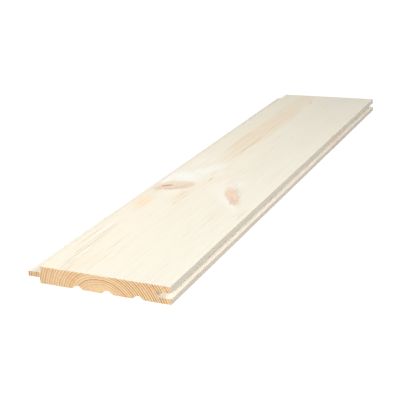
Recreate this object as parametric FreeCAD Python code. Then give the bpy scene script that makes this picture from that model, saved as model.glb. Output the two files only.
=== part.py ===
import FreeCAD, Part

import math
import os

# Interior lining board, machined all round from one piece of softwood.
# X runs across the board from the tongue side (-X) to the groove side (+X), Y runs along the grain
# and Z rises from the back to the show face. The origin is on the back, in the middle of the
# overall width and length. All sizes are in millimetres and all angles in degrees.

# Overall sizes
BOARD_LENGTH = 520.0
COVER_WIDTH = 110.0            # back shoulder to back lip: the width that one laid board covers

# Heights of the groove edge, from the back to the face. They add up to the board's thickness.
BACK_LIP_THICKNESS = 4.5
TONGUE_THICKNESS = 4.2
SIDE_CLEARANCE = 0.15          # between tongue and groove, on each side of the tongue
FACE_LIP_THICKNESS = 5.0

# Tongue and groove
TONGUE_REACH = 10.0            # from the back shoulder to the tip
TIP_CLEARANCE = 0.6            # between the tip and the groove's floor when two boards close up
TONGUE_TIP_RADIUS = 0.8
GROOVE_FLOOR_RADIUS = 0.4

# The face closes short of the back, which leaves a fine shadow line between laid boards.
FACE_SHOULDER_SETBACK = 1.2    # face shoulder behind the back shoulder
FACE_LIP_SETBACK = 0.3         # face lip behind the back lip

# Eased edges
ARRIS_RADIUS = 0.4             # outer edges of the face and the back
LIP_RADIUS = 0.25              # mouth of the groove
ROOT_RADIUS = 0.3              # inner corners where the tongue meets its shoulders

# Relief grooves in the back, which let the board lie flat when it swells
RELIEF_COUNT = 3
RELIEF_PITCH = 25.4
RELIEF_OFFSET = 2.9            # middle of the row, from the middle of the back towards the groove
RELIEF_DEPTH = 2.7
RELIEF_FLOOR_WIDTH = 2.8
RELIEF_WALL_ANGLE = 40.0       # slope of each wall, measured from the back
RELIEF_FLOOR_RADIUS = 0.9
RELIEF_MOUTH_RADIUS = 0.4

# Positions across the board
overall_width = TONGUE_REACH + COVER_WIDTH
tongue_tip_x = -overall_width / 2
back_shoulder_x = tongue_tip_x + TONGUE_REACH
face_shoulder_x = back_shoulder_x + FACE_SHOULDER_SETBACK
back_lip_x = overall_width / 2
face_lip_x = back_lip_x - FACE_LIP_SETBACK
groove_floor_x = back_lip_x - TONGUE_REACH - TIP_CLEARANCE
relief_row_x = (back_shoulder_x + back_lip_x) / 2 + RELIEF_OFFSET

# Heights above the back
groove_bottom_z = BACK_LIP_THICKNESS
tongue_bottom_z = groove_bottom_z + SIDE_CLEARANCE
tongue_top_z = tongue_bottom_z + TONGUE_THICKNESS
groove_top_z = tongue_top_z + SIDE_CLEARANCE
face_z = groove_top_z + FACE_LIP_THICKNESS


def relief_corners(middle_x):
    """Corners of one relief groove, walked from the tongue side to the groove side.

    Each corner is (x, z, radius).
    """
    half_floor = RELIEF_FLOOR_WIDTH / 2
    half_mouth = half_floor + RELIEF_DEPTH / math.tan(math.radians(RELIEF_WALL_ANGLE))
    return [
        (middle_x - half_mouth, 0.0, RELIEF_MOUTH_RADIUS),
        (middle_x - half_floor, RELIEF_DEPTH, RELIEF_FLOOR_RADIUS),
        (middle_x + half_floor, RELIEF_DEPTH, RELIEF_FLOOR_RADIUS),
        (middle_x + half_mouth, 0.0, RELIEF_MOUTH_RADIUS),
    ]


def back_corners():
    """The back, from the tongue's shoulder to the lip of the groove."""
    corners = [(back_shoulder_x, 0.0, ARRIS_RADIUS)]
    for index in range(RELIEF_COUNT):
        steps_from_middle = index - (RELIEF_COUNT - 1) / 2
        corners += relief_corners(relief_row_x + steps_from_middle * RELIEF_PITCH)
    corners.append((back_lip_x, 0.0, ARRIS_RADIUS))
    return corners


def groove_corners():
    """The groove edge, from the back lip round the groove to the face."""
    return [
        (back_lip_x, groove_bottom_z, LIP_RADIUS),
        (groove_floor_x, groove_bottom_z, GROOVE_FLOOR_RADIUS),
        (groove_floor_x, groove_top_z, GROOVE_FLOOR_RADIUS),
        (face_lip_x, groove_top_z, LIP_RADIUS),
        (face_lip_x, face_z, ARRIS_RADIUS),
    ]


def tongue_corners():
    """The tongue edge, from the face down round the tongue to its back shoulder."""
    return [
        (face_shoulder_x, face_z, ARRIS_RADIUS),
        (face_shoulder_x, tongue_top_z, ROOT_RADIUS),
        (tongue_tip_x, tongue_top_z, TONGUE_TIP_RADIUS),
        (tongue_tip_x, tongue_bottom_z, TONGUE_TIP_RADIUS),
        (back_shoulder_x, tongue_bottom_z, ROOT_RADIUS),
    ]


def rounded_section(corners, y):
    """Closed wire at one place along the board, with an arc in place of every corner."""
    points = [FreeCAD.Vector(x, y, z) for x, z, radius in corners]
    edges = []
    arc_ends = []
    for index, here in enumerate(points):
        radius = corners[index][2]
        to_last = (points[index - 1] - here).normalize()
        to_next = (points[(index + 1) % len(points)] - here).normalize()
        half_angle = to_last.getAngle(to_next) / 2
        trim = radius / math.tan(half_angle)
        towards_middle = (to_last + to_next).normalize()
        crown = here + towards_middle * (radius / math.sin(half_angle) - radius)
        start = here + to_last * trim
        end = here + to_next * trim
        edges.append(Part.Arc(start, crown, end).toShape())
        arc_ends.append((start, end))
    for index, (start, end) in enumerate(arc_ends):
        last_end = arc_ends[index - 1][1]
        edges.append(Part.LineSegment(last_end, start).toShape())
    return Part.Wire(Part.__sortEdges__(edges))


def tongue_and_groove_board():
    """The whole board: its section, run along the grain from one sawn end to the other."""
    corners = back_corners() + groove_corners() + tongue_corners()
    section = Part.Face(rounded_section(corners, -BOARD_LENGTH / 2))
    return section.extrude(FreeCAD.Vector(0, BOARD_LENGTH, 0))


os.makedirs("parts", exist_ok=True)
board = tongue_and_groove_board()
board.exportStep("parts/tongue_and_groove_board.step")

box = board.BoundBox
print("board valid", board.isValid(), "solids", len(board.Solids), "faces", len(board.Faces))
print(f"overall {box.XLength:.2f} x {box.YLength:.2f} x {box.ZLength:.2f} mm")
print(f"section {board.Volume / BOARD_LENGTH:.1f} mm2, volume {board.Volume / 1000:.1f} cm3")
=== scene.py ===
"""Looks of a white glazed tongue and groove board.

The board is one piece of knotty spruce. Its figure is a single solid pattern: growth rings
round a pith below the back, with two branches running out through them. Face, edges, back
and sawn ends are all cut from that pattern, so they show the same wood. The face and
both jointed edges carry a thin white glaze, the back is planed wood and the ends are raw.

Objects are in metres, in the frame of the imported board: X from the tongue to the groove,
Y along the grain, Z from the back to the face. The growth pattern works in millimetres.
"""

import logging
import math
from dataclasses import dataclass, field
from enum import Enum

import bmesh
import bpy
import numpy as np
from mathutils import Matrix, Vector
from mathutils.geometry import delaunay_2d_cdt


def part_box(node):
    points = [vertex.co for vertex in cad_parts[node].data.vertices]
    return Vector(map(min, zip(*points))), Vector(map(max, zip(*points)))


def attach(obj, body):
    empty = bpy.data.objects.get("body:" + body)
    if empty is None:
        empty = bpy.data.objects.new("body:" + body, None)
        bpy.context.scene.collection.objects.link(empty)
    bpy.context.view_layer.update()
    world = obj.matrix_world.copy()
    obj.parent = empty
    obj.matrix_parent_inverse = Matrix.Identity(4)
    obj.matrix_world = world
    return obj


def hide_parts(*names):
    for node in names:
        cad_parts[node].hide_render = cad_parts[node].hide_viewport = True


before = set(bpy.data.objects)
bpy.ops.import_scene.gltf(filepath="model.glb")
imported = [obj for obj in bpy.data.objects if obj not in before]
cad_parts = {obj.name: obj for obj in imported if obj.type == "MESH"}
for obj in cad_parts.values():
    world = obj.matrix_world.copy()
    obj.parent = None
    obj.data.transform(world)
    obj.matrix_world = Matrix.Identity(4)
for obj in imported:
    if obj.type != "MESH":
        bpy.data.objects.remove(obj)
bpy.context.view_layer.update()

LOG = logging.getLogger("board")
NODE = "tongue_and_groove_board"
MM = 0.001

Socket = bpy.types.NodeSocket
Sockets = dict[str, Socket]
Colour = tuple[float, float, float, float]
Size = tuple[float, float, float]
MID_GREY = (0.5, 0.5, 0.5)


def shade(red: int, green: int, blue: int) -> Colour:
    """Turn an 8-bit screen colour into the linear colour that a shader takes.

    Args:
        red: Red, 0 to 255.
        green: Green, 0 to 255.
        blue: Blue, 0 to 255.

    Returns:
        The linear colour with full opacity.
    """
    linear = []
    for part in (red, green, blue):
        value = part / 255
        linear.append(value / 12.92 if value <= 0.04045 else ((value + 0.055) / 1.055) ** 2.4)
    return (linear[0], linear[1], linear[2], 1.0)


class Surface(Enum):
    """How a stretch of the board's surface was left. The value is its material's place."""

    FACE = 0
    EDGE = 1
    GROOVE = 2
    TONGUE = 3
    BACK = 4
    END = 5


class ShaderTree:
    """Short calls for making and joining the nodes of one shader tree.

    The renderer works through a tree in the order in which its nodes were made, and has room
    for so many values at a time. jumble and noise_along make their noise before what feeds it,
    so knots and rings are worked out after the plain patches. With the feeding nodes made
    first, that room ran out and the glazed wood came out black.
    """

    def __init__(self, tree: bpy.types.NodeTree) -> None:
        """Take an empty tree.

        Args:
            tree: The node tree of a material, a world or a node group.
        """
        self.tree = tree

    def node(self, kind: str, **settings: object) -> bpy.types.Node:
        """Add a node.

        Args:
            kind: The node's type name.
            **settings: Properties to set on it.

        Returns:
            The new node.
        """
        made = self.tree.nodes.new(kind)
        for name, value in settings.items():
            setattr(made, name, value)
        return made

    def feed(self, target: Socket, value: object) -> None:
        """Give a socket a link or a fixed value.

        Args:
            target: The input socket.
            value: Another node's output, or a plain value.
        """
        if isinstance(value, bpy.types.NodeSocket):
            self.tree.links.new(value, target)
        elif value is not None:
            target.default_value = value

    def math(self, operation: str, *values: object, clamp: bool = False) -> Socket:
        """Do one sum.

        Args:
            operation: The Math node's operation.
            *values: Its inputs, in order.
            clamp: Keep the result between 0 and 1.

        Returns:
            The result's socket.
        """
        made = self.node("ShaderNodeMath", operation=operation, use_clamp=clamp)
        for target, value in zip(made.inputs, values):
            self.feed(target, value)
        return made.outputs[0]

    def vector(self, operation: str, *values: object) -> Socket:
        """Do one sum on vectors.

        Args:
            operation: The Vector Math node's operation. SCALE takes a vector and a number.
            *values: Its inputs, in order.

        Returns:
            The result's socket: a number for DOT_PRODUCT and LENGTH, else a vector.
        """
        made = self.node("ShaderNodeVectorMath", operation=operation)
        if operation == "SCALE":
            self.feed(made.inputs["Vector"], values[0])
            self.feed(made.inputs["Scale"], values[1])
        else:
            for target, value in zip(made.inputs, values):
                self.feed(target, value)
        return made.outputs["Value" if operation in ("DOT_PRODUCT", "LENGTH") else "Vector"]

    def plus(self, first: object, second: object) -> Socket:
        """Add two numbers."""
        return self.math("ADD", first, second)

    def less(self, first: object, second: object) -> Socket:
        """Take the second number from the first."""
        return self.math("SUBTRACT", first, second)

    def scaled(self, value: object, factor: object, base: object) -> Socket:
        """Multiply a number by a factor and add it to a base."""
        return self.math("MULTIPLY_ADD", value, factor, base)

    def fold(self, operation: str, values: tuple[object, ...]) -> Socket:
        """Do one sum on the first two values, then on its result and the third, and so on.

        Args:
            operation: The Math node's operation.
            values: The values, at least one.

        Returns:
            The last result.
        """
        result, *others = values
        for value in others:
            result = self.math(operation, result, value)
        return result

    def times(self, *values: object) -> Socket:
        """Multiply all values."""
        return self.fold("MULTIPLY", values)

    def most(self, *values: object) -> Socket:
        """Keep the largest of all values."""
        return self.fold("MAXIMUM", values)

    def least(self, *values: object) -> Socket:
        """Keep the smallest of all values."""
        return self.fold("MINIMUM", values)

    def split(self, vector: Socket) -> tuple[Socket, Socket, Socket]:
        """Take a vector apart.

        Args:
            vector: The vector.

        Returns:
            Its x, y and z.
        """
        made = self.node("ShaderNodeSeparateXYZ")
        self.feed(made.inputs[0], vector)
        return made.outputs[0], made.outputs[1], made.outputs[2]

    def join(self, x: object, y: object, z: object) -> Socket:
        """Put a vector together.

        Args:
            x: Its x.
            y: Its y.
            z: Its z.

        Returns:
            The vector.
        """
        made = self.node("ShaderNodeCombineXYZ")
        for target, value in zip(made.inputs, (x, y, z)):
            self.feed(target, value)
        return made.outputs[0]

    def turn(self, axis: str, vector: Socket, angle: object) -> Socket:
        """Turn a vector round an axis of the board.

        Args:
            axis: The Vector Rotate node's axis, such as Z_AXIS.
            vector: The vector.
            angle: How far it is turned, in radians.

        Returns:
            The turned vector.
        """
        made = self.node("ShaderNodeVectorRotate", rotation_type=axis)
        self.feed(made.inputs["Vector"], vector)
        self.feed(made.inputs["Angle"], angle)
        return made.outputs[0]

    def noise(
        self, place: object, stretch: Size | None, detail: float, rough: float = 0.5
    ) -> Socket:
        """Sample soft noise at a place, one cell to each unit.

        Args:
            place: A vector.
            stretch: How many cells there are to each unit of it in x, y and z, if not one.
            detail: How many finer layers are added.
            rough: How strong the finer layers are.

        Returns:
            The noise, about 0.5 on average.
        """
        cells = self.vector("MULTIPLY", place, stretch) if stretch else place
        made = self.node("ShaderNodeTexNoise")
        self.feed(made.inputs["Vector"], cells)
        self.feed(made.inputs["Scale"], 1.0)
        self.feed(made.inputs["Detail"], detail)
        self.feed(made.inputs["Roughness"], rough)
        return made.outputs["Fac"]

    def jumble(self, place: Socket, stretch: Size, reach: Size) -> Socket:
        """Say how far soft noise moves a place.

        Args:
            place: A vector.
            stretch: How many cells of noise there are to each unit of it.
            reach: How far the noise moves it, in x, y and z.

        Returns:
            The move, as a vector.
        """
        made = self.node("ShaderNodeTexNoise")
        self.feed(made.inputs["Vector"], self.vector("MULTIPLY", place, stretch))
        self.feed(made.inputs["Scale"], 1.0)
        self.feed(made.inputs["Detail"], 2.0)
        either_way = self.vector("SUBTRACT", made.outputs["Color"], MID_GREY)
        return self.vector("MULTIPLY", either_way, reach)

    def noise_along(self, way: Socket, pace: float, start: float, detail: float) -> Sockets:
        """Sample soft noise that changes along one number only.

        Args:
            way: The number.
            pace: How many cells there are to each unit of it.
            start: The cell at its zero.
            detail: How many finer layers are added.

        Returns:
            The noise as Fac and as Color.
        """
        made = self.node("ShaderNodeTexNoise", noise_dimensions="1D")
        self.feed(made.inputs["W"], self.scaled(way, pace, start))
        self.feed(made.inputs["Scale"], 1.0)
        self.feed(made.inputs["Detail"], detail)
        return {socket.name: socket for socket in made.outputs}

    def step(self, value: object, start: object, end: object, low: float, high: float) -> Socket:
        """Turn a rising value smoothly from one level to another.

        Args:
            value: What is read.
            start: Where the turn starts.
            end: Where it ends, over start.
            low: The level at start.
            high: The level at end.

        Returns:
            The level.
        """
        made = self.node("ShaderNodeMapRange", interpolation_type="SMOOTHSTEP")
        names = ("Value", "From Min", "From Max", "To Min", "To Max")
        for name, level in zip(names, (value, start, end, low, high)):
            self.feed(made.inputs[name], level)
        return made.outputs["Result"]

    def ramp(
        self, value: object, start: float, end: float, low: float = 0.0, high: float = 1.0
    ) -> Socket:
        """Turn a value smoothly from one level to another.

        Args:
            value: What is read.
            start: Where the turn starts.
            end: Where it ends. It may be under start.
            low: The level at start.
            high: The level at end.

        Returns:
            The level.
        """
        if start < end:
            return self.step(value, start, end, low, high)
        return self.step(value, end, start, high, low)

    def blend(self, amount: object, first: object, second: object) -> Socket:
        """Mix two colours.

        Args:
            amount: The share of the second colour.
            first: A colour.
            second: A colour.

        Returns:
            The mixed colour.
        """
        made = self.node("ShaderNodeMix", data_type="RGBA", clamp_factor=True)
        self.feed(made.inputs["Factor"], amount)
        colours = [s for s in made.inputs if s.type == "RGBA"]
        self.feed(colours[0], first)
        self.feed(colours[1], second)
        return [s for s in made.outputs if s.type == "RGBA"][0]

    def use(self, group: bpy.types.NodeTree, **values: object) -> Sockets:
        """Place a node group.

        Args:
            group: The group.
            **values: What its inputs get, with _ for a space in a name.

        Returns:
            Its outputs by name.
        """
        made = self.node("ShaderNodeGroup", node_tree=group)
        for name, value in values.items():
            self.feed(made.inputs[name.replace("_", " ")], value)
        return {socket.name: socket for socket in made.outputs}


def empty_tree(owner: bpy.types.Material | bpy.types.World) -> ShaderTree:
    """Clear the shader nodes of a material or a world.

    Args:
        owner: The material or world.

    Returns:
        Its tree, without nodes.
    """
    owner.use_nodes = True
    owner.node_tree.nodes.clear()
    return ShaderTree(owner.node_tree)


def put_in_scene(name: str, data: bpy.types.ID) -> bpy.types.Object:
    """Make an object and link it to the scene.

    Args:
        name: The object's name.
        data: Its mesh, light or camera.

    Returns:
        The object.
    """
    made = bpy.data.objects.new(name, data)
    bpy.context.scene.collection.objects.link(made)
    return made


class Kind(Enum):
    """What a node group's socket carries. The value is the socket's type."""

    NUMBER = "NodeSocketFloat"
    VECTOR = "NodeSocketVector"
    COLOUR = "NodeSocketColor"


def kinds(kind: Kind, names: tuple[str, ...]) -> dict[str, Kind]:
    """Say that several sockets are of one kind, as new_group takes them."""
    return dict.fromkeys(names, kind)


def new_group(
    name: str, inputs: dict[str, Kind], outputs: dict[str, Kind]
) -> tuple[ShaderTree, Sockets, Sockets]:
    """Start a shader node group.

    Args:
        name: The group's name.
        inputs: Each input's name and kind.
        outputs: Each output's name and kind.

    Returns:
        The tree, the inputs to read and the outputs to feed, by name.
    """
    group = bpy.data.node_groups.new(name, "ShaderNodeTree")
    for label, kind in inputs.items():
        group.interface.new_socket(label, in_out="INPUT", socket_type=kind.value)
    for label, kind in outputs.items():
        group.interface.new_socket(label, in_out="OUTPUT", socket_type=kind.value)
    tree = ShaderTree(group)
    reads = {s.name: s for s in tree.node("NodeGroupInput").outputs if s.name}
    feeds = {s.name: s for s in tree.node("NodeGroupOutput").inputs if s.name}
    return tree, reads, feeds


@dataclass(frozen=True)
class Knot:
    """A branch that the board's face cuts at a slant. Lengths are in millimetres.

    Attributes:
        x: Middle of the knot on the face, across the board.
        y: Middle of the knot on the face, along the board.
        heading: Way from the pith outwards in the face, in degrees from +X towards +Y.
        half_length: Half the knot's size along its heading.
        half_width: Half its size across.
        taper: How much wider the outer end is than the middle, as a share.
        rise: Slope of the branch towards the face, in degrees.
        shrink: How much thinner the branch is for each millimetre below the face.
        push: How far the rings beside it are pushed apart.
        lag: How far beyond the knot's middle, along the board, they are pushed most.
        split: How far from its middle, towards the tongue, they part.
        point: How much its ends are drawn to a point, as a share of its width.
        heart: Place of the branch's own heart along and across the knot, from -1 to 1.
        core: How dark that heart is, from 0 to 1.
    """

    x: float
    y: float
    heading: float
    half_length: float
    half_width: float
    taper: float
    rise: float
    shrink: float
    push: float
    lag: float
    split: float
    point: float
    heart: tuple[float, float]
    core: float

    def values(self, face_z: float) -> dict[str, object]:
        """Give the inputs that the branch group takes for this knot.

        Args:
            face_z: Height of the show face, in millimetres.

        Returns:
            The inputs by name.
        """
        turn = math.radians(self.heading)
        ahead = Vector((math.cos(turn), math.sin(turn), 0.0))
        slope = 1 / math.tan(math.radians(self.rise))
        return {
            "Middle": (self.x, self.y, face_z),
            "Ahead": tuple(ahead),
            "Across": (-ahead.y, ahead.x, 0.0),
            "Lean": (ahead.x * slope, ahead.y * slope, 0.0),
            "Half_length": self.half_length,
            "Half_width": self.half_width,
            "Taper": self.taper,
            "Shrink": self.shrink,
            "Push": self.push,
            "Lag": self.lag,
            "Split": self.split,
            "Point": self.point,
            "Heart": (self.heart[0], self.heart[1], 0.0),
        }


@dataclass(frozen=True)
class Zone:
    """A long soft patch of other colour in the wood. Lengths are in millimetres.

    Attributes:
        x: Middle across the board.
        y: Middle along the board.
        half_x: Half its width.
        half_y: Half its length.
        turn: How far its far end leans towards the groove, in degrees from the grain.
        strength: How strong it is in the middle, from 0 to 1.
        ragged: How far its edge wanders, as a share of its size.
        soft: How soft its edge is, as a share of its size.
    """

    x: float
    y: float
    half_x: float
    half_y: float
    turn: float
    strength: float = 1.0
    ragged: float = 0.5
    soft: float = 0.8


@dataclass(frozen=True)
class Figure:
    """The spruce that the board was cut from. Lengths are in millimetres.

    Attributes:
        pith_x: The pith's place across the board.
        pith_z: The pith's height above the back.
        squeeze: Width of a ring against its height.
        tongue_power: How square the rings are on the tongue's side, where 2 is round.
        groove_power: How square they are on the groove's side.
        ring_gap: Usual gap between two growth rings.
        ring_start: Where the first ring begins.
        ring_seed: Which years grew dark wood.
        wander: How far the grain strays sideways along the board.
        steady: Where along the board it goes over from hardly straying to its full stray.
        tongue_part: Where across the board the rings turn darker, towards the tongue.
        end_strip: Strip at the near end where the brown patches fade in.
        big_knot: The slanting knot at the tongue edge.
        long_knot: The long knot nearer the groove.
        resin: The orange patch before the big knot.
        warm: Brown heartwood and tan hazes.
        thick_glaze: Where the glaze is whitest and hides most of the wood.
        thin_glaze: Where the glaze was wiped thinnest and the grain shows most.
        dark_lines: Single dark years that show through the glaze.
        arrises: Long outer corners of the joint, as x and z, where the glaze is rubbed thin.
    """

    pith_x: float = 3.8
    pith_z: float = -12.5
    squeeze: float = 0.94
    tongue_power: float = 2.37
    groove_power: float = 1.92
    ring_gap: float = 1.9
    ring_start: float = 0.64
    ring_seed: float = 9.24
    wander: float = 2.0
    steady: tuple[float, float] = (-262.0, -190.0)
    tongue_part: tuple[float, float] = (-46.0, -53.0)
    end_strip: tuple[float, float] = (-261.0, -252.0)
    big_knot: Knot = Knot(
        x=-34.4, y=-74.2, heading=206.0, half_length=21.0, half_width=10.4, taper=0.08, rise=38.0,
        shrink=0.022, push=12.0, lag=8.0, split=9.0, point=0.0, heart=(0.29, -0.04), core=1.0,
    )
    long_knot: Knot = Knot(
        x=29.8, y=-85.5, heading=-61.0, half_length=22.0, half_width=5.4, taper=-0.3, rise=24.0,
        shrink=0.02, push=4.5, lag=8.0, split=0.0, point=0.15, heart=(0.45, -0.05), core=0.35,
    )
    resin: tuple[Zone, ...] = (
        Zone(-39.5, -117.0, 14.0, 29.0, -14.0, 1.0, 0.5, 0.9),
        Zone(-41.0, -103.0, 7.0, 15.0, 0.0, 0.6, 0.5, 0.9),
        Zone(-17.0, -103.0, 8.0, 16.0, -18.0, 0.3, 1.2, 1.0),
        Zone(-4.0, -64.0, 9.0, 18.0, -10.0, 0.2, 1.2, 1.0),
    )
    warm: tuple[Zone, ...] = (
        Zone(-18.0, 118.0, 19.0, 150.0, 0.0, 1.0, 0.35, 0.6),
        Zone(-20.0, 215.0, 16.0, 75.0, 0.0, 0.6, 0.4, 0.6),
        Zone(-31.0, 112.0, 13.0, 120.0, 0.0, 0.3, 0.7, 1.0),
        Zone(-41.0, -92.0, 6.0, 13.0, 0.0, 0.7),
        Zone(-12.0, -96.0, 11.0, 38.0, -8.0, 0.6, 0.8),
        Zone(0.0, -50.0, 10.0, 18.0, 10.0, 0.6, 0.8),
        Zone(-19.0, -245.0, 12.0, 42.0, 0.0, 0.45),
        Zone(33.0, -130.0, 9.0, 22.0, 0.0, 0.3, 0.8),
        Zone(12.0, -58.0, 5.0, 16.0, 28.0, 0.3),
        Zone(18.5, -66.0, 4.0, 13.0, -25.0, 0.6),
        Zone(41.5, -98.0, 4.0, 13.0, -25.0, 0.9),
        Zone(27.0, -82.0, 5.5, 19.0, -25.0, 0.9, 0.6),
        Zone(60.5, 116.0, 3.0, 26.0, 0.0, 1.0, 0.6, 0.8),
    )
    thick_glaze: tuple[Zone, ...] = (
        Zone(-34.0, -48.0, 24.0, 21.0, 10.0, 1.0, 0.35, 0.95),
        Zone(-47.0, -58.0, 10.0, 34.0, 0.0, 0.9, 0.4, 0.9),
        Zone(-34.0, -8.0, 16.0, 44.0, 0.0, 0.4, 0.9, 1.0),
        Zone(-24.0, -28.0, 15.0, 34.0, 26.0, 0.72, 0.8, 0.9),
        Zone(-27.0, -93.0, 10.0, 15.0, 30.0, 0.15),
        Zone(-40.5, -185.0, 2.0, 40.0, 0.0, 0.6),
        Zone(-30.6, -240.0, 1.2, 30.0, 0.0, 0.7),
        Zone(22.0, -60.0, 11.0, 17.0, 20.0, 0.35),
    )
    thin_glaze: tuple[Zone, ...] = (
        Zone(-33.0, -205.0, 15.0, 85.0, 0.0, 0.8, 0.4, 0.7),
        Zone(-26.0, -248.0, 12.0, 40.0, 0.0, 1.0, 0.3, 0.5),
        Zone(-41.0, -130.0, 8.0, 45.0, 0.0, 0.9),
        Zone(30.0, -195.0, 10.0, 90.0, 0.0, 0.4, 0.8),
        Zone(54.0, -128.0, 6.0, 40.0, 0.0, 0.7),
        Zone(-12.0, -102.0, 13.0, 40.0, 4.0, 0.3, 0.8),
        Zone(-8.0, -236.0, 9.0, 34.0, 0.0, 0.3, 0.8),
        Zone(-31.0, -4.0, 8.0, 28.0, 3.0, 0.8),
        Zone(-28.0, 62.0, 4.0, 85.0, 0.0, 0.8),
        Zone(-10.0, 62.0, 5.0, 75.0, 0.0, 0.7),
        Zone(-12.0, 200.0, 7.0, 40.0, 0.0, 0.4),
    )
    dark_lines: tuple[Zone, ...] = (
        Zone(-43.2, -199.0, 0.6, 34.0, 1.0, 1.0, 0.2),
        Zone(-36.3, -186.0, 0.55, 38.0, 1.0, 0.9, 0.2),
        Zone(-33.9, -214.0, 0.6, 68.0, 0.5, 1.0, 0.2),
        Zone(-31.9, -252.0, 0.5, 32.0, 0.0, 0.9, 0.2),
        Zone(-29.4, -250.0, 0.55, 40.0, 0.0, 1.0, 0.2),
        Zone(-26.8, -252.0, 0.5, 26.0, 0.0, 0.7, 0.3),
        Zone(-15.2, -197.0, 0.8, 36.0, 0.0, 0.8, 0.4),
        Zone(-19.5, -112.0, 0.8, 12.0, -5.0, 0.6, 0.6),
        Zone(-28.0, 62.0, 0.8, 70.0, 0.0, 0.4, 0.4),
        Zone(-10.0, 56.0, 0.8, 52.0, 0.0, 0.45, 0.4),
        Zone(-6.2, 228.0, 1.0, 8.0, 0.0, 1.0, 0.2),
        Zone(34.0, -150.0, 0.6, 34.0, 0.0, 0.5, 0.4),
        Zone(53.0, -122.0, 0.7, 18.0, 0.0, 0.35, 0.4),
        Zone(-7.0, -50.0, 0.9, 9.0, 2.0, 0.9, 0.4),
        Zone(-11.0, -34.0, 0.9, 12.0, 2.0, 0.6, 0.4),
        Zone(-11.5, -114.0, 0.9, 9.0, 0.0, 0.7, 0.4),
        Zone(-15.0, -92.0, 0.9, 12.0, 3.0, 0.6, 0.4),
    )
    arrises: tuple[tuple[float, float], ...] = (
        (59.7, 9.0), (60.0, 4.5), (-60.0, 8.85), (-60.0, 4.65),
    )


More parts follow.
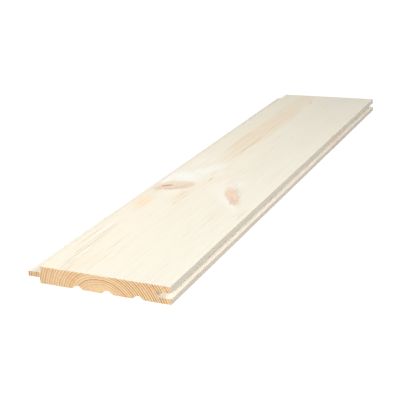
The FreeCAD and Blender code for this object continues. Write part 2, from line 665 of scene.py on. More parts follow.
class SpruceGroups:
    """The shader node groups that the finishes share.

    Attributes:
        BRANCH_THINNEST: Least size of a branch below the face, as a share of its size there.
        BRANCH_NARROWEST: Least width that its ends are drawn to, in millimetres.
        PARTING_ACROSS: How far beside a branch the rings are still parted, in millimetres.
        PARTING_ALONG: How far before and after it, in millimetres.
        STIR: Stretch of the noise that bends the outlines of the knots.
        FRAY: Stretch of the finer noise that roughens them.
        JUMBLE: How far both noises move a point, in millimetres.
        SWAY_LENGTH: How far the grain runs along the board between two sways, in millimetres.
    """

    BRANCH_THINNEST = 0.3
    BRANCH_NARROWEST = 1.0
    PARTING_ACROSS = 26.0
    PARTING_ALONG = 22.0
    STIR = (0.16, 0.09, 0.16)
    FRAY = (0.55, 0.4, 0.55)
    JUMBLE = (3.0, 4.0, 3.0)
    SWAY_LENGTH = 140.0

    def __init__(self, figure: Figure, face_z: float) -> None:
        """Build the groups.

        Args:
            figure: The wood.
            face_z: Height of the show face, in millimetres.
        """
        self.figure = figure
        self.face_z = face_z
        self.branch = self._branch()
        self.zone = self._zone()
        self.growth = self._growth()
        self.timber = self._timber()
        self.glaze = self._glaze()
        self.saw = self._saw()

    def _branch(self) -> bpy.types.NodeTree:
        """Build the group that measures a branch: 0 at its heart and 1 at its bark.

        Returns:
            The group.
        """
        vectors = ("Place", "Middle", "Ahead", "Across", "Lean", "Heart")
        numbers = ("Half length", "Half width", "Taper", "Shrink", "Push", "Lag", "Split", "Point")
        t, i, o = new_group(
            "branch", kinds(Kind.VECTOR, vectors) | kinds(Kind.NUMBER, numbers),
            kinds(Kind.NUMBER, ("Level", "Along", "Side", "Aside")),
        )
        offset = t.vector("SUBTRACT", i["Place"], i["Middle"])
        height = t.split(offset)[2]
        flat = t.vector("SUBTRACT", offset, t.vector("SCALE", i["Lean"], height))
        along = t.vector("DOT_PRODUCT", flat, i["Ahead"])
        across = t.vector("DOT_PRODUCT", flat, i["Across"])
        thick = t.most(t.scaled(height, i["Shrink"], 1.0), self.BRANCH_THINNEST)
        u = t.math("DIVIDE", along, t.times(i["Half length"], thick))
        drawn = t.least(t.times(u, u), 1.0)
        drawn = t.scaled(drawn, t.times(i["Point"], -1.0), 1.0)
        width = t.times(i["Half width"], t.scaled(u, i["Taper"], 1.0), drawn)
        width = t.times(t.most(width, self.BRANCH_NARROWEST), thick)
        v = t.math("DIVIDE", across, width)
        # Each ring of the branch is an oval whose middle moves from the heart to the
        # knot's middle as the ring grows, so the level solves a quadratic equation.
        spot = t.vector("SUBTRACT", t.join(u, v, 0.0), i["Heart"])
        drift = t.vector("SCALE", i["Heart"], -1.0)
        lean = t.vector("DOT_PRODUCT", spot, drift)
        rest = t.less(1.0, t.vector("DOT_PRODUCT", drift, drift))
        square = t.times(rest, t.vector("DOT_PRODUCT", spot, spot))
        root = t.math("SQRT", t.plus(t.times(lean, lean), square))
        t.feed(o["Level"], t.math("DIVIDE", t.less(root, lean), rest))
        t.feed(o["Along"], u)
        t.feed(o["Side"], v)
        x, y, _ = t.split(flat)
        near_x = t.math("DIVIDE", x, self.PARTING_ACROSS)
        late = t.less(y, i["Lag"])
        near_y = t.math("DIVIDE", late, t.scaled(i["Half length"], 0.6, self.PARTING_ALONG))
        square = t.scaled(near_x, near_x, t.times(near_y, near_y))
        fading = t.math("EXPONENT", t.times(square, -1.0))
        side = t.math("TANH", t.math("DIVIDE", t.plus(x, i["Split"]), t.times(i["Half width"], 1.2)))
        t.feed(o["Aside"], t.times(side, fading, i["Push"]))
        return t.tree

    @staticmethod
    def _zone() -> bpy.types.NodeTree:
        """Build the group that marks a long soft patch with a ragged edge.

        Returns:
            The group.
        """
        inputs = kinds(Kind.VECTOR, ("Place", "Middle", "Size"))
        inputs |= kinds(Kind.NUMBER, ("Turn", "Ragged", "Softness"))
        t, i, o = new_group("patch", inputs, {"Mask": Kind.NUMBER})
        offset = t.vector("SUBTRACT", i["Place"], i["Middle"])
        x, y, _ = t.split(t.turn("Z_AXIS", offset, i["Turn"]))
        size_x, size_y, _ = t.split(i["Size"])
        share = t.join(t.math("DIVIDE", x, size_x), t.math("DIVIDE", y, size_y), 0.0)
        reach = t.vector("LENGTH", share)
        streaks = t.noise(i["Place"], (0.22, 0.018, 0.1), 3.0, 0.6)
        ragged = t.scaled(t.times(t.less(streaks, 0.5), i["Ragged"]), 2.0, reach)
        start = t.less(1.0, i["Softness"])
        t.feed(o["Mask"], t.step(ragged, start, 1.0, 1.0, 0.0))
        return t.tree

    def _patches(self, t: ShaderTree, place: Socket, zones: tuple[Zone, ...]) -> Socket:
        """Place the patch group for each zone and keep the strongest mask.

        Args:
            t: The tree to place them in.
            place: The point in millimetres.
            zones: The patches.

        Returns:
            The mask.
        """
        strongest = 0.0
        for zone in zones:
            mask = t.use(
                self.zone, Place=place, Middle=(zone.x, zone.y, 0.0),
                Size=(zone.half_x, zone.half_y, 1.0), Turn=math.radians(zone.turn),
                Ragged=zone.ragged, Softness=zone.soft,
            )["Mask"]
            strongest = t.most(t.times(mask, zone.strength), strongest)
        return strongest

    def _growth(self) -> bpy.types.NodeTree:
        """Build the group for the growth rings, the fibres and the knots of the solid wood.

        Returns:
            The group.
        """
        outputs = kinds(Kind.NUMBER, (
            "Rings", "Latewood", "Earlywood", "Ring tone", "Lines", "Fibre", "Ray", "Knot",
            "Knot rim", "Knot heart", "Knot rings", "Bark", "Halo", "Resin", "Warm", "Thick",
            "Thin", "Arris",
        ))
        t, i, o = new_group("spruce growth", {"Position": Kind.VECTOR}, outputs)
        place = t.vector("SCALE", i["Position"], 1 / MM)
        axes = t.split(place)
        jumbled = t.vector("ADD", place, t.jumble(place, self.STIR, self.JUMBLE))
        jumbled = t.vector("ADD", jumbled, t.jumble(place, self.FRAY, self.JUMBLE))
        big, slim = [
            t.use(self.branch, Place=jumbled, **knot.values(self.face_z))
            for knot in (self.figure.big_knot, self.figure.long_knot)
        ]
        self._mark_knots(t, o, place, big, slim)
        self._mark_rings(t, o, place, axes, t.plus(big["Aside"], slim["Aside"]))
        self._mark_zones(t, o, place, axes, slim)
        return t.tree

    def _mark_knots(
        self, t: ShaderTree, o: Sockets, place: Socket, big: Sockets, slim: Sockets
    ) -> None:
        """Mark the knots: their wood, rims, rings, hearts and bark.

        Args:
            t: The growth group's tree.
            o: Its outputs.
            place: The point in millimetres.
            big: What the branch group measures of the big knot.
            slim: What it measures of the long knot.
        """
        torn = t.less(t.noise(place, (0.7, 0.4, 0.7), 3.0, 0.7), 0.5)
        torn = t.times(torn, t.ramp(slim["Side"], -0.3, 0.7, 0.2, 1.7))
        slim_level = t.plus(slim["Level"], torn)
        nearest = t.least(big["Level"], slim_level)
        mottle = t.noise(place, (0.34, 0.26, 0.34), 3.0, 0.65)
        spots = t.noise(place, (0.62, 0.5, 0.62), 2.0, 0.7)
        body = t.times(
            t.ramp(big["Level"], 1.12, 0.86), t.ramp(big["Side"], -0.8, 0.3, 0.5, 1.0),
            t.ramp(mottle, 0.3, 0.62, 0.68, 1.08), t.ramp(big["Along"], 0.5, 1.05, 1.0, 0.3),
        )
        slim_body = t.times(t.ramp(slim_level, 1.2, 0.8), t.ramp(mottle, 0.34, 0.62, 0.5, 0.95))
        t.feed(o["Knot"], t.math("MAXIMUM", body, slim_body, clamp=True))
        rim = t.times(
            t.ramp(big["Level"], 0.3, 0.9), t.ramp(big["Level"], 1.12, 1.0),
            t.ramp(big["Side"], -0.2, 0.5, 0.1, 1.0),
        )
        slim_edge = t.times(t.ramp(slim_level, 0.66, 0.92), t.ramp(slim_level, 1.12, 1.0, 0.0, 0.4))
        t.feed(o["Knot rim"], t.times(t.most(rim, slim_edge), t.ramp(mottle, 0.36, 0.58)))

        near_rim = t.times(
            t.ramp(big["Level"], 0.84, 0.97), t.ramp(big["Level"], 1.13, 1.02),
            t.ramp(big["Side"], 0.15, 0.5, 0.0, 0.75), t.ramp(big["Along"], 0.4, 0.95, 1.0, 0.1),
        )
        far_rim = t.times(
            t.ramp(big["Level"], 0.9, 0.99), t.ramp(big["Level"], 1.1, 1.02),
            t.ramp(big["Side"], -0.2, -0.6, 0.0, 0.75),
        )
        slim_rim = t.times(
            t.ramp(slim["Level"], 0.6, 0.95), t.ramp(slim["Level"], 1.9, 1.2),
            t.ramp(slim["Side"], 0.2, 0.9, 0.0, 0.6),
        )
        greyed = t.times(t.ramp(big["Side"], 0.1, -0.5, 0.0, 0.22), t.ramp(big["Level"], 1.08, 0.9))
        rims = t.most(near_rim, far_rim, slim_rim, greyed)
        rims = t.times(rims, t.ramp(spots, 0.46, 0.6, 0.2, 1.0))
        burnt = t.times(
            t.ramp(slim["Along"], 0.1, 0.85, 0.0, 0.4), t.ramp(slim_level, 1.2, 0.9),
            t.ramp(spots, 0.4, 0.58, 0.2, 1.0),
        )
        t.feed(o["Bark"], t.most(rims, burnt))
        cores = [
            t.ramp(measured["Level"], 0.36, 0.08, 0.0, knot.core)
            for measured, knot in ((big, self.figure.big_knot), (slim, self.figure.long_knot))
        ]
        t.feed(o["Knot heart"], t.most(*cores))
        rings = t.scaled(t.math("SINE", t.times(nearest, 30.0)), 0.5, 0.5)
        t.feed(o["Knot rings"], t.times(rings, t.ramp(mottle, 0.36, 0.6)))
        t.feed(o["Halo"], t.ramp(nearest, 1.7, 0.95))

    def _mark_rings(
        self, t: ShaderTree, o: Sockets, place: Socket, axes: tuple[Socket, ...], push: Socket
    ) -> None:
        """Mark the growth rings, the single dark lines and the rays.

        Args:
            t: The growth group's tree.
            o: Its outputs.
            place: The point in millimetres.
            axes: Its x, y and z.
            push: How far the knots push the rings aside.
        """
        wood = self.figure
        x, y, z = axes
        stray = t.noise_along(y, 1 / self.SWAY_LENGTH, 3.7, 1.0)["Color"]
        freely = t.ramp(y, *wood.steady, 0.15, 1.0)
        strayed = t.vector(
            "SCALE", t.vector("SUBTRACT", stray, MID_GREY), t.times(freely, 2 * wood.wander)
        )
        sway_x, _, sway_z = t.split(strayed)
        across = t.less(t.plus(t.less(x, wood.pith_x), sway_x), push)
        rising = t.plus(t.less(z, wood.pith_z), sway_z)
        power = t.ramp(across, -12.0, 12.0, wood.tongue_power, wood.groove_power)
        wide = t.times(t.math("ABSOLUTE", across), wood.squeeze)
        sum_of_powers = t.plus(t.math("POWER", wide, power), t.math("POWER", rising, power))
        radius = t.math("POWER", sum_of_powers, t.math("DIVIDE", 1.0, power))
        lumps = t.noise(place, (0.045, 0.006, 0.045), 2.0, 0.5)
        ripple = t.noise(place, (0.3, 0.025, 0.3), 2.0, 0.5)
        radius = t.scaled(t.less(lumps, 0.5), t.times(freely, 2.6), radius)
        radius = t.scaled(t.less(ripple, 0.5), 0.5, radius)
        years = t.noise_along(radius, 0.13, 0.0, 2.0)["Fac"]
        uneven = t.scaled(t.less(years, 0.5), 0.6, wood.ring_start)
        count = t.plus(t.math("DIVIDE", radius, wood.ring_gap), uneven)
        year = t.math("FLOOR", count)
        season = t.math("FRACT", count)
        tone = t.math("FRACT", t.times(t.math("SINE", t.scaled(year, 2.3, wood.ring_seed)), 17.3))
        strength = t.times(t.scaled(tone, 0.6, 0.4), t.ramp(radius, 16.5, 23.0, 0.1, 1.0))
        late = t.times(t.math("POWER", t.ramp(season, 0.3, 0.9), 1.5), t.ramp(season, 1.0, 0.94))
        shown = t.times(
            t.times(late, strength), t.ramp(x, -30.0, 30.0, 0.7, 1.25),
            t.ramp(x, *wood.tongue_part, 1.0, 2.0),
        )
        darker = t.ramp(x, *wood.tongue_part, 0.0, 0.12)
        t.feed(o["Rings"], t.math("ADD", shown, darker, clamp=True))
        patchy = t.noise(place, (0.25, 0.03, 0.25), 3.0, 0.65)
        strength = t.times(strength, t.ramp(patchy, 0.42, 0.66, 0.07, 1.0))
        swayed = t.vector("ADD", place, t.join(t.times(sway_x, 0.3), 0.0, 0.0))
        lines = self._patches(t, swayed, wood.dark_lines)
        lines = t.times(lines, t.ramp(patchy, 0.3, 0.5, 0.5, 1.0))
        t.feed(o["Lines"], lines)
        t.feed(o["Latewood"], t.most(t.times(late, strength), lines))
        t.feed(o["Earlywood"], t.times(t.ramp(season, 0.34, 0.06), strength))
        t.feed(o["Ring tone"], tone)
        angle = t.math("ARCTAN2", across, rising)
        fan = t.join(t.times(angle, 90.0), t.times(radius, 0.12), 0.0)
        t.feed(o["Ray"], t.noise(fan, None, 1.0))

    def _mark_zones(
        self, t: ShaderTree, o: Sockets, place: Socket, axes: tuple[Socket, ...], slim: Sockets
    ) -> None:
        """Mark the fibres and the patches of resin, heartwood and glaze.

        Args:
            t: The growth group's tree.
            o: Its outputs.
            place: The point in millimetres.
            axes: Its x, y and z.
            slim: What the branch group measures of the long knot.
        """
        wood = self.figure
        x, y, z = axes
        coarse = t.noise(place, (1.1, 0.02, 1.1), 3.0, 0.6)
        fine = t.noise(place, (4.5, 0.11, 4.5), 2.0, 0.6)
        t.feed(o["Fibre"], t.scaled(coarse, 0.6, t.times(fine, 0.4)))
        t.feed(o["Resin"], self._patches(t, place, wood.resin))
        warm = self._patches(t, place, wood.warm)
        t.feed(o["Warm"], t.times(warm, t.ramp(y, *wood.end_strip, 0.3, 1.0)))
        halo = t.times(
            t.ramp(slim["Level"], 4.0, 1.4), t.ramp(slim["Level"], 0.95, 1.2),
            t.ramp(slim["Side"], 0.4, -0.6, 0.0, 0.32),
        )
        thick = t.most(halo, self._patches(t, place, wood.thick_glaze))
        t.feed(o["Thick"], t.times(thick, t.ramp(coarse, 0.36, 0.6, 0.68, 1.06)))
        t.feed(o["Thin"], self._patches(t, place, wood.thin_glaze))
        section = t.join(x, 0.0, z)
        gaps = [
            t.vector("LENGTH", t.vector("SUBTRACT", section, (corner_x, 0.0, corner_z)))
            for corner_x, corner_z in wood.arrises
        ]
        t.feed(o["Arris"], t.ramp(t.least(*gaps), 1.0, 0.3))

    @staticmethod
    def _timber() -> bpy.types.NodeTree:
        """Build the group that colours the bare wood.

        Returns:
            The group.
        """
        inputs = kinds(Kind.COLOUR, (
            "Earlywood", "Latewood", "Knot body", "Knot dark", "Resin", "Heartwood", "Bark",
        ))
        inputs |= kinds(Kind.NUMBER, (
            "Late", "Tone", "Fibre", "Knot", "Rim", "Heart", "Rings", "Halo", "Resin mask",
            "Heartwood mask", "Bark mask",
        ))
        t, i, o = new_group("bare timber", inputs, {"Colour": Kind.COLOUR})
        wood = t.blend(t.times(i["Heartwood mask"], 0.9), i["Earlywood"], i["Heartwood"])
        wood = t.blend(t.times(i["Resin mask"], 0.9), wood, i["Resin"])
        soaked = t.scaled(i["Resin mask"], -0.7, 1.0)
        wood = t.blend(t.times(i["Tone"], 0.12, soaked), wood, i["Latewood"])
        wood = t.blend(t.times(i["Late"], soaked), wood, i["Latewood"])
        streaks = t.math("MULTIPLY", t.less(i["Fibre"], 0.42), 0.8, clamp=True)
        wood = t.blend(streaks, wood, i["Latewood"])
        wood = t.blend(t.times(i["Halo"], 0.22), wood, i["Knot body"])
        body = t.blend(t.times(i["Rings"], 0.4), i["Knot body"], i["Knot dark"])
        body = t.blend(t.times(i["Rim"], 0.6), body, i["Knot dark"])
        body = t.blend(t.times(i["Heartwood mask"], 0.55), body, i["Heartwood"])
        wood = t.blend(i["Knot"], wood, body)
        wood = t.blend(i["Heart"], wood, i["Knot dark"])
        t.feed(o["Colour"], t.blend(i["Bark mask"], wood, i["Bark"]))
        return t.tree

    @staticmethod
    def _glaze() -> bpy.types.NodeTree:
        """Build the group that lays a thin white glaze over the wood.

        Returns:
            The group.
        """
        inputs = kinds(Kind.COLOUR, ("Wood", "Glaze", "Cool glaze", "Dense glaze"))
        inputs |= kinds(Kind.NUMBER, (
            "Cover", "Late", "Lines", "Early", "Fibre", "Knot", "Heart", "Marked", "Dense", "Thin",
            "Arris",
        ))
        inputs["Position"] = Kind.VECTOR
        outputs = {"Colour": Kind.COLOUR} | kinds(Kind.NUMBER, ("Cover", "Roughness", "Height"))
        t, i, o = new_group("white glaze", inputs, outputs)
        wiped = t.noise(i["Position"], (320.0, 9.0, 320.0), 3.0, 0.6)
        pooled = t.noise(i["Position"], (45.0, 14.0, 45.0), 2.0, 0.5)
        shown = t.times(i["Late"], t.scaled(i["Thin"], 0.5, 0.045))
        cover = t.less(i["Cover"], t.most(shown, t.times(i["Lines"], 0.48)))
        rubbed = t.times(i["Arris"], t.ramp(wiped, 0.4, 0.62, 0.05, 1.0))
        for what, share in (
            (t.less(wiped, 0.5), t.scaled(i["Thin"], 0.14, 0.05)),
            (t.less(pooled, 0.5), 0.06),
            (t.less(i["Fibre"], 0.5), -0.1),
            (i["Marked"], -0.14),
            (i["Knot"], -0.34),
            (i["Heart"], -0.3),
            (rubbed, -0.16),
        ):
            cover = t.scaled(what, share, cover)
        dense = t.math("MULTIPLY_ADD", t.times(i["Early"], i["Thin"]), 0.8, i["Dense"], clamp=True)
        cover = t.math("ADD", cover, t.times(dense, 0.14), clamp=True)
        cool = t.ramp(t.split(i["Position"])[0], -0.03, 0.035)
        paint = t.blend(cool, i["Glaze"], i["Cool glaze"])
        paint = t.blend(dense, paint, i["Dense glaze"])
        t.feed(o["Colour"], t.blend(cover, i["Wood"], paint))
        t.feed(o["Cover"], cover)
        t.feed(o["Roughness"], t.scaled(i["Fibre"], 0.14, 0.68))
        height = t.scaled(i["Late"], 0.6, t.times(i["Fibre"], 0.5))
        t.feed(o["Height"], t.scaled(i["Knot"], 0.3, height))
        return t.tree

    @staticmethod
    def _saw() -> bpy.types.NodeTree:
        """Build the group for the marks of the crosscut saw on an end.

        Returns:
            The group.
        """
        outputs = kinds(Kind.NUMBER, ("Height", "Shade", "Stain"))
        t, i, o = new_group("saw marks", {"Position": Kind.VECTOR}, outputs)
        turned = t.turn("Y_AXIS", t.vector("SCALE", i["Position"], 1 / MM), math.radians(24.0))
        marks = t.noise(turned, (1.6, 0.0, 0.09), 3.0, 0.65)
        pores = t.times(t.noise(turned, (7.0, 7.0, 7.0), 2.0, 0.6), 0.5)
        t.feed(o["Height"], t.scaled(marks, 0.7, pores))
        t.feed(o["Shade"], t.scaled(marks, 0.5, pores))
        blotches = t.noise(turned, (0.2, 0.2, 0.2), 2.0, 0.6)
        t.feed(o["Stain"], t.ramp(blotches, 0.48, 0.68))
        return t.tree


@dataclass(frozen=True)
class Finish:
    """Colours of the wood that every finish starts from.

    Attributes:
        name: The material's name.
        earlywood: The pale wood of each ring.
        latewood: The dark wood of each ring.
        knot_body: The wood of a knot.
        knot_dark: Its rim and heart.
        resin: Wood soaked with resin.
        heartwood: The streak of heartwood.
        bark: Bark left at the edge of a knot.
        bump: Height of the relief, in metres.
        gloss: How much it reflects, where 0.5 is plain varnish.
    """

    name: str
    earlywood: Colour = shade(243, 214, 166)
    latewood: Colour = shade(196, 146, 90)
    knot_body: Colour = shade(234, 182, 138)
    knot_dark: Colour = shade(180, 106, 78)
    resin: Colour = shade(255, 196, 106)
    heartwood: Colour = shade(242, 188, 110)
    bark: Colour = shade(146, 118, 84)
    bump: float = 0.00008
    gloss: float = 0.15

    def start(self) -> tuple[bpy.types.Material, ShaderTree, bpy.types.Node, Socket]:
        """Make an empty material with a Principled shader.

        Returns:
            The material, its tree, the shader and the object's position in metres.
        """
        material = bpy.data.materials.new(self.name)
        t = empty_tree(material)
        shader = t.node("ShaderNodeBsdfPrincipled")
        output = t.node("ShaderNodeOutputMaterial")
        t.feed(output.inputs["Surface"], shader.outputs[0])
        shader.inputs["Specular IOR Level"].default_value = self.gloss
        return material, t, shader, t.node("ShaderNodeTexCoord").outputs["Object"]

    def timber(
        self, t: ShaderTree, groups: SpruceGroups, growth: Sockets, late: str = "Latewood"
    ) -> Socket:
        """Place the bare timber group with this finish's colours.

        Args:
            t: The material's tree.
            groups: The shared groups.
            growth: The growth group's outputs.
            late: Which of them draws the dark wood of the rings.

        Returns:
            The bare wood's colour.
        """
        return t.use(
            groups.timber, Earlywood=self.earlywood, Latewood=self.latewood,
            Knot_body=self.knot_body, Knot_dark=self.knot_dark, Resin=self.resin,
            Heartwood=self.heartwood, Bark=self.bark, Late=growth[late], Tone=growth["Ring tone"],
            Fibre=growth["Fibre"], Knot=growth["Knot"], Rim=growth["Knot rim"],
            Heart=growth["Knot heart"], Rings=growth["Knot rings"], Halo=growth["Halo"],
            Resin_mask=growth["Resin"], Heartwood_mask=growth["Warm"], Bark_mask=growth["Bark"],
        )["Colour"]

    def relief(self, t: ShaderTree, shader: bpy.types.Node, height: Socket) -> None:
        """Feed the shader's normal from a height.

        Args:
            t: The material's tree.
            shader: The Principled shader.
            height: The height, about 0 to 1.
        """
        bump = t.node("ShaderNodeBump")
        t.feed(bump.inputs["Height"], height)
        t.feed(bump.inputs["Distance"], self.bump)
        t.feed(bump.inputs["Strength"], 1.0)
        t.feed(shader.inputs["Normal"], bump.outputs[0])


@dataclass(frozen=True)
class GlazedFinish(Finish):
    """Planed wood under a thin white glaze: the face and both jointed edges.

    Attributes:
        glaze: Colour of the glaze on the tongue's side, over the warmer wood.
        cool_glaze: Its colour on the groove's side.
        dense_glaze: Its colour where it is whitest.
        cover: Share of the wood that the glaze hides.
    """

    name: str = "glazed_face"
    latewood: Colour = shade(186, 144, 88)
    glaze: Colour = shade(251, 246, 231)
    cool_glaze: Colour = shade(245, 242, 230)
    dense_glaze: Colour = shade(255, 255, 249)
    cover: float = 0.86

    def build(self, groups: SpruceGroups) -> bpy.types.Material:
        """Build the material.

        Args:
            groups: The shared groups.

        Returns:
            The material.
        """
        material, t, shader, position = self.start()
        growth = t.use(groups.growth, Position=position)
        coat = t.use(
            groups.glaze, Wood=self.timber(t, groups, growth), Glaze=self.glaze,
            Cool_glaze=self.cool_glaze, Dense_glaze=self.dense_glaze, Cover=self.cover,
            Late=growth["Latewood"], Lines=growth["Lines"], Early=growth["Earlywood"],
            Fibre=growth["Fibre"], Knot=growth["Knot"],
            Heart=t.most(growth["Knot heart"], growth["Bark"]),
            Marked=t.most(growth["Resin"], growth["Warm"]), Dense=growth["Thick"],
            Thin=growth["Thin"], Arris=growth["Arris"], Position=position,
        )
        t.feed(shader.inputs["Base Color"], coat["Colour"])
        t.feed(shader.inputs["Roughness"], coat["Roughness"])
        self.relief(t, shader, coat["Height"])
        return material


@dataclass(frozen=True)
class PlanedFinish(Finish):
    """Bare planed wood: the back."""

    name: str = "planed_back"
    knot_body: Colour = shade(206, 146, 92)
    knot_dark: Colour = shade(152, 88, 50)

    def build(self, groups: SpruceGroups) -> bpy.types.Material:
        """Build the material.

        Args:
            groups: The shared groups.

        Returns:
            The material.
        """
        material, t, shader, position = self.start()
        growth = t.use(groups.growth, Position=position)
        t.feed(shader.inputs["Base Color"], self.timber(t, groups, growth))
        t.feed(shader.inputs["Roughness"], t.scaled(growth["Fibre"], 0.2, 0.55))
        self.relief(t, shader, t.scaled(growth["Latewood"], 0.7, growth["Fibre"]))
        return material


@dataclass(frozen=True)
class SawnFinish(Finish):
    """Raw end grain, as the crosscut saw left it.

    Attributes:
        stain: Pinkish patches in it.
        run_over: Glaze that ran over the rim from the face.
        rim_start: Height over the back where it starts to show, in metres.
        rim_end: Height where it is strongest.
    """

    name: str = "sawn_end"
    earlywood: Colour = shade(250, 220, 176)
    latewood: Colour = shade(162, 116, 64)
    stain: Colour = shade(236, 178, 142)
    run_over: Colour = shade(246, 238, 222)
    rim_start: float = 13.2 * MM
    rim_end: float = 13.9 * MM
    bump: float = 0.0001

    def build(self, groups: SpruceGroups) -> bpy.types.Material:
        """Build the material.

        Args:
            groups: The shared groups.

        Returns:
            The material.
        """
        material, t, shader, position = self.start()
        growth = t.use(groups.growth, Position=position)
        marks = t.use(groups.saw, Position=position)
        wood = self.timber(t, groups, growth, "Rings")
        rays = t.ramp(growth["Ray"], 0.5, 0.75, 0.0, 0.3)
        wood = t.blend(rays, wood, self.latewood)
        worn = t.ramp(marks["Shade"], 0.4, 0.65, 0.0, 0.2)
        wood = t.blend(worn, wood, self.latewood)
        wood = t.blend(t.times(marks["Stain"], 0.4), wood, self.stain)
        rim = t.ramp(t.split(position)[2], self.rim_start, self.rim_end)
        rim = t.times(rim, t.ramp(marks["Shade"], 0.4, 0.6, 0.2, 0.7))
        wood = t.blend(rim, wood, self.run_over)
        t.feed(shader.inputs["Base Color"], wood)
        t.feed(shader.inputs["Roughness"], t.ramp(marks["Shade"], 0.3, 0.7, 0.75, 0.9))
        self.relief(t, shader, t.scaled(growth["Latewood"], 0.5, marks["Height"]))
        return material


@dataclass
class Board:
    """The board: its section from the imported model, run along the grain with a fine mesh.

    Attributes:
        outline_gap: Longest edge of the mesh round the section.
        station_gap: Longest edge of the mesh along the board.
        cap_gap: Longest edge of the mesh on the ends.
        cap_margin: Least gap there to the outline's points. It is over half of outline_gap, so
            no point of the mesh falls on the outline between two of them.
        smooth_below: Largest angle that is shaded as round.
        relief_depth: Deepest relief groove in the back, for telling the back from the edges.
        joint_top: Height over the back of the top of the tongue and of the groove.
        end_facing: Least share of an end's normal that points along the grain.
        back_facing: Least share of a back face's normal that points down.
        side_facing: Least share of an edge's normal that points sideways.
        low: The corner of the board's box with the least x, y and z.
        high: Its corner with the greatest.
    """

    outline_gap: float = 1.6 * MM
    station_gap: float = 2.5 * MM
    cap_gap: float = 1.2 * MM
    cap_margin: float = 0.85 * MM
    smooth_below: float = math.radians(50.0)
    relief_depth: float = 2.8 * MM
    joint_top: float = 9.5 * MM
    end_facing: float = 0.5
    back_facing: float = 0.3
    side_facing: float = 0.7
    low: Vector = field(init=False)
    high: Vector = field(init=False)

    def __post_init__(self) -> None:
        """Read the board's box from the frame."""
        self.low, self.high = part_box(NODE)

    def outline(self) -> np.ndarray:
        """Read the section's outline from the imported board's near end.

        Returns:
            The outline's points in order, as x and z.
        """
        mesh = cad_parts[NODE].data
        mesh.calc_loop_triangles()
        keys = [tuple(round(c, 7) for c in v.co) for v in mesh.vertices]
        near = round(min(k[1] for k in keys), 7)
        edges: dict[tuple, tuple] = {}
        for triangle in mesh.loop_triangles:
            corners = [keys[v] for v in triangle.vertices]
            if all(abs(c[1] - near) < 1e-6 for c in corners):
                for a, b in zip(corners, corners[1:] + corners[:1]):
                    if (b, a) in edges:
                        del edges[(b, a)]
                    else:
                        edges[(a, b)] = (a, b)
        following = {a: b for a, b in edges}
        start = min(following)
        loop = [start]
        while following[loop[-1]] != start:
            loop.append(following[loop[-1]])
        return np.array([(p[0], p[2]) for p in loop])

    def fine_outline(self) -> np.ndarray:
        """Cut the outline's long runs into short even steps.

        Returns:
            The outline's points in order, as x and z.
        """
        corners = self.outline()
        points = []
        for here, there in zip(corners, np.roll(corners, -1, axis=0)):
            steps = max(1, math.ceil(np.linalg.norm(there - here) / self.outline_gap))
            points += [here + (there - here) * step / steps for step in range(steps)]
        return np.array(points)

    def cap(self, points: np.ndarray) -> tuple[np.ndarray, list[list[int]]]:
        """Fill the section with even triangles.

        Args:
            points: The fine outline.

        Returns:
            All points of the cap, the outline's first, and its triangles.
        """
        count = len(points)
        low, high = points.min(0), points.max(0)
        grid_x = np.arange(low[0] + self.cap_gap / 2, high[0], self.cap_gap)
        grid_z = np.arange(low[1] + self.cap_gap / 2, high[1], self.cap_gap)
        inner = np.array([(x, z) for x in grid_x for z in grid_z])
        gaps = np.linalg.norm(inner[:, None] - points[None], axis=2).min(1)
        inner = inner[gaps > self.cap_margin]
        every = [Vector(p) for p in np.vstack([points, inner])]
        ring = list(range(count))
        edges = list(zip(ring, ring[1:] + ring[:1]))
        verts, _, faces, origins, _, _ = delaunay_2d_cdt(every, edges, [ring], 1, 1e-7)
        places = np.array([tuple(v) for v in verts])
        first = {origin[0]: index for index, origin in enumerate(origins) if origin}
        order = [first[k] for k in ring]
        rest = [k for k in range(len(places)) if k not in set(order)]
        renumber = {old: new for new, old in enumerate(order + rest)}
        return places[order + rest], [[renumber[k] for k in f] for f in faces]

    def build(self) -> bpy.types.Object:
        """Build the board's mesh.

        Returns:
            The board, in place, with its surfaces told apart but no materials yet.
        """
        points = self.fine_outline()
        count = len(points)
        length = self.high.y - self.low.y
        steps = math.ceil(length / self.station_gap)
        stations = np.linspace(self.low.y, self.high.y, steps + 1)
        verts = [(x, y, z) for y in stations for x, z in points]
        faces = []
        for row in range(steps):
            for k in range(count):
                after = (k + 1) % count
                base = row * count
                faces.append((base + k, base + after, base + count + after, base + count + k))
        cap_points, cap_faces = self.cap(points)
        for row, y in ((0, stations[0]), (steps, stations[-1])):
            shift = len(verts) - count
            verts += [(x, y, z) for x, z in cap_points[count:]]
            base = row * count
            faces += [[base + k if k < count else shift + k for k in f] for f in cap_faces]
        mesh = bpy.data.meshes.new(NODE)
        mesh.from_pydata(verts, [], faces)
        board = put_in_scene("glazed_board", mesh)
        self.finish_mesh(mesh)
        return board

    def finish_mesh(self, mesh: bpy.types.Mesh) -> None:
        """Turn all faces outwards, mark sharp edges and tell the surfaces apart.

        Args:
            mesh: The board's mesh.
        """
        bm = bmesh.new()
        bm.from_mesh(mesh)
        bmesh.ops.recalc_face_normals(bm, faces=bm.faces)
        for edge in bm.edges:
            edge.smooth = edge.calc_face_angle(0.0) < self.smooth_below
        for face in bm.faces:
            face.smooth = True
            face.material_index = self.surface_of(face).value
        bm.to_mesh(mesh)
        bm.free()

    def surface_of(self, face: bmesh.types.BMFace) -> Surface:
        """Tell how one face of the board was left.

        Args:
            face: The face, with its normal outwards.

        Returns:
            The surface it belongs to.
        """
        if abs(face.normal.y) > self.end_facing:
            return Surface.END
        middle = face.calc_center_median()
        if face.normal.z < -self.back_facing and middle.z < self.relief_depth:
            return Surface.BACK
        if abs(face.normal.x) > self.side_facing:
            return Surface.EDGE
        if middle.z < self.joint_top:
            return Surface.TONGUE if middle.x < 0.0 else Surface.GROOVE
        return Surface.FACE

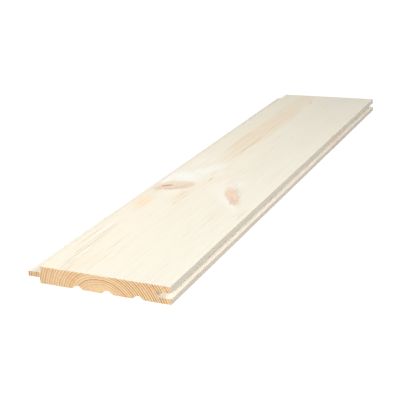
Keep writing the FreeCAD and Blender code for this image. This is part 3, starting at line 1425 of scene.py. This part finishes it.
    def dress(self, board: bpy.types.Object) -> None:
        """Give the board its materials.

        Args:
            board: The board's object.
        """
        groups = SpruceGroups(Figure(), self.high.z / MM)
        finishes = {
            Surface.FACE: GlazedFinish(),
            # The edges get a greyer, darker glaze than the face. This is painted shade: it stands in
            # for the shade that falls on the upright sides of the joint.
            Surface.EDGE: GlazedFinish(
                "glazed_edge_painted_shade", glaze=shade(228, 223, 210), cool_glaze=shade(222, 215, 202),
                dense_glaze=shade(236, 232, 221), cover=0.94,
            ),
            # The groove gets a whiter glaze than the face, and it hides more of the wood. This is
            # painted light: it lifts the shade that the upper lip casts into the groove.
            Surface.GROOVE: GlazedFinish(
                "glazed_groove_painted_light", cool_glaze=shade(252, 246, 234), cover=0.97,
            ),
            Surface.TONGUE: GlazedFinish(
                "glazed_tongue", glaze=shade(247, 240, 225),
                dense_glaze=shade(251, 247, 235), cover=0.95,
            ),
            Surface.BACK: PlanedFinish(),
            Surface.END: SawnFinish(),
        }
        for surface in Surface:
            board.data.materials.append(finishes[surface].build(groups))


@dataclass(frozen=True)
class Lamp:
    """A round soft lamp.

    Attributes:
        name: What it does.
        place: Where it hangs.
        aim: The point it is turned to.
        size: Its width.
        power: Its power in watts.
    """

    name: str
    place: tuple[float, float, float]
    aim: tuple[float, float, float]
    size: float
    power: float

    def build(self) -> None:
        """Hang the lamp in the scene."""
        light = bpy.data.lights.new(self.name, "AREA")
        light.shape = "DISK"
        light.size = self.size
        light.energy = self.power
        hung = put_in_scene(self.name, light)
        hung.location = self.place
        hung.visible_camera = False
        towards = Vector(self.aim) - Vector(self.place)
        hung.rotation_euler = towards.to_track_quat("-Z", "Y").to_euler()


@dataclass
class Studio:
    """A white floor and plain soft light.

    Attributes:
        floor_radius: Size of the floor round the board.
        floor_gap: How far the floor lies under the back.
        floor_grey: How much light the floor throws back.
        floor_glow: What it adds for the camera alone, beside the board.
        glow_start: How far from the middle that starts to rise.
        glow_end: Where it makes the floor fully white.
        ambient: Strength of the even light from all round.
        lamps: The soft lamps.
    """

    floor_radius: float = 2.5
    floor_gap: float = 0.2 * MM
    floor_grey: float = 0.28
    floor_glow: float = 0.88
    glow_start: float = 0.3
    glow_end: float = 0.6
    ambient: float = 0.1
    lamps: tuple[Lamp, ...] = (
        Lamp("front_lamp", (0.42, -1.56, 0.6), (0.0, 0.0, 0.0), 0.45, 23.2),
        Lamp("right_lamp", (0.65, -0.15, 0.56), (0.0, 0.0, 0.0), 0.3, 3.2),
        Lamp("left_lamp", (-0.65, -0.15, 0.6), (0.0, 0.0, 0.0), 0.35, 3.25),
        Lamp("back_lamp", (1.2, 1.6, 0.6), (0.0, 0.0, 0.0), 0.6, 9.5),
        Lamp("under_lamp", (0.0, 0.0, -1.2), (0.0, 0.0, 0.0), 0.1, 8.5),
    )

    def build(self) -> None:
        """Build the floor, the world and the lamps."""
        self.build_world()
        self.build_floor()
        for lamp in self.lamps:
            lamp.build()

    @staticmethod
    def seen_directly(t: ShaderTree) -> Socket:
        """Tell the rays of the camera, of reflections and of glass from those that light.

        Args:
            t: The tree of the world or of the floor's material.

        Returns:
            1 for such a ray and 0 for the others.
        """
        path = t.node("ShaderNodeLightPath")
        kinds_of_ray = ("Is Camera Ray", "Is Glossy Ray", "Is Transmission Ray")
        return t.most(*[path.outputs[kind] for kind in kinds_of_ray])

    def build_world(self) -> None:
        """Build the world: even light all round, seen as white."""
        world = bpy.data.worlds.new("studio")
        t = empty_tree(world)
        background = t.node("ShaderNodeBackground")
        strength = t.ramp(self.seen_directly(t), 0.0, 1.0, self.ambient, 1.0)
        t.feed(background.inputs["Color"], (1.0, 1.0, 1.0, 1.0))
        t.feed(background.inputs["Strength"], strength)
        output = t.node("ShaderNodeOutputWorld")
        t.feed(output.inputs["Surface"], background.outputs[0])
        bpy.context.scene.world = world

    def build_floor(self) -> None:
        """Build the floor: white with the board's soft shadow from above, clear from below."""
        bm = bmesh.new()
        bmesh.ops.create_circle(bm, cap_ends=True, segments=96, radius=self.floor_radius)
        mesh = bpy.data.meshes.new("floor")
        bm.to_mesh(mesh)
        bm.free()
        floor = put_in_scene("floor", mesh)
        floor.location.z = -self.floor_gap
        floor.visible_shadow = False
        material = bpy.data.materials.new("white_floor")
        t = empty_tree(material)
        cloth = t.node("ShaderNodeBsdfDiffuse")
        t.feed(cloth.inputs["Color"], (self.floor_grey, self.floor_grey, self.floor_grey, 1.0))
        glow = t.node("ShaderNodeEmission")
        place = t.node("ShaderNodeTexCoord").outputs["Object"]
        reach = t.vector("LENGTH", place)
        away = t.ramp(reach, self.glow_start, self.glow_end, self.floor_glow, 1.0)
        t.feed(glow.inputs["Strength"], t.times(away, self.seen_directly(t)))
        both = t.node("ShaderNodeAddShader")
        t.feed(both.inputs[0], cloth.outputs[0])
        t.feed(both.inputs[1], glow.outputs[0])
        one_way = t.node("ShaderNodeMixShader")
        t.feed(one_way.inputs[0], t.node("ShaderNodeNewGeometry").outputs["Backfacing"])
        t.feed(one_way.inputs[1], both.outputs[0])
        t.feed(one_way.inputs[2], t.node("ShaderNodeBsdfTransparent").outputs[0])
        output = t.node("ShaderNodeOutputMaterial")
        t.feed(output.inputs["Surface"], one_way.outputs[0])
        mesh.materials.append(material)


@dataclass
class Viewpoint:
    """The camera, at the photograph's viewing angle.

    Attributes:
        place: Where it stands.
        turn: Its rotation in degrees.
        focal_pixels: Its focal length in pixels of the photograph.
        frame_pixels: Width and height of the photograph.
        sensor: Width of the sensor in millimetres.
    """

    place: tuple[float, float, float] = (0.33068, -0.74103, 0.28354)
    turn: tuple[float, float, float] = (69.36, 3.535, 25.519)
    focal_pixels: float = 889.93
    frame_pixels: float = 400.0
    sensor: float = 36.0

    def build(self) -> None:
        """Build the camera and make it the scene's own."""
        lens = bpy.data.cameras.new("camera")
        lens.sensor_width = self.sensor
        lens.lens = self.focal_pixels / self.frame_pixels * self.sensor
        lens.clip_start = 0.01
        lens.dof.use_dof = False
        camera = put_in_scene("camera", lens)
        camera.location = self.place
        camera.rotation_euler = [math.radians(angle) for angle in self.turn]
        bpy.context.scene.camera = camera


def main() -> None:
    """Build the board, the studio and the camera."""
    logging.basicConfig(level=logging.INFO, format="%(name)s: %(message)s")
    maker = Board()
    board = maker.build()
    maker.dress(board)
    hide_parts(NODE)
    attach(board, "root")
    LOG.info("board: %d faces, %d materials", len(board.data.polygons), len(board.data.materials))
    Studio().build()
    LOG.info("studio: floor, world and %d soft lamps", len(Studio.lamps))
    Viewpoint().build()
    LOG.info("camera: in place")
    bpy.context.scene.view_settings.view_transform = "Standard"


if __name__ == "__main__":
    main()
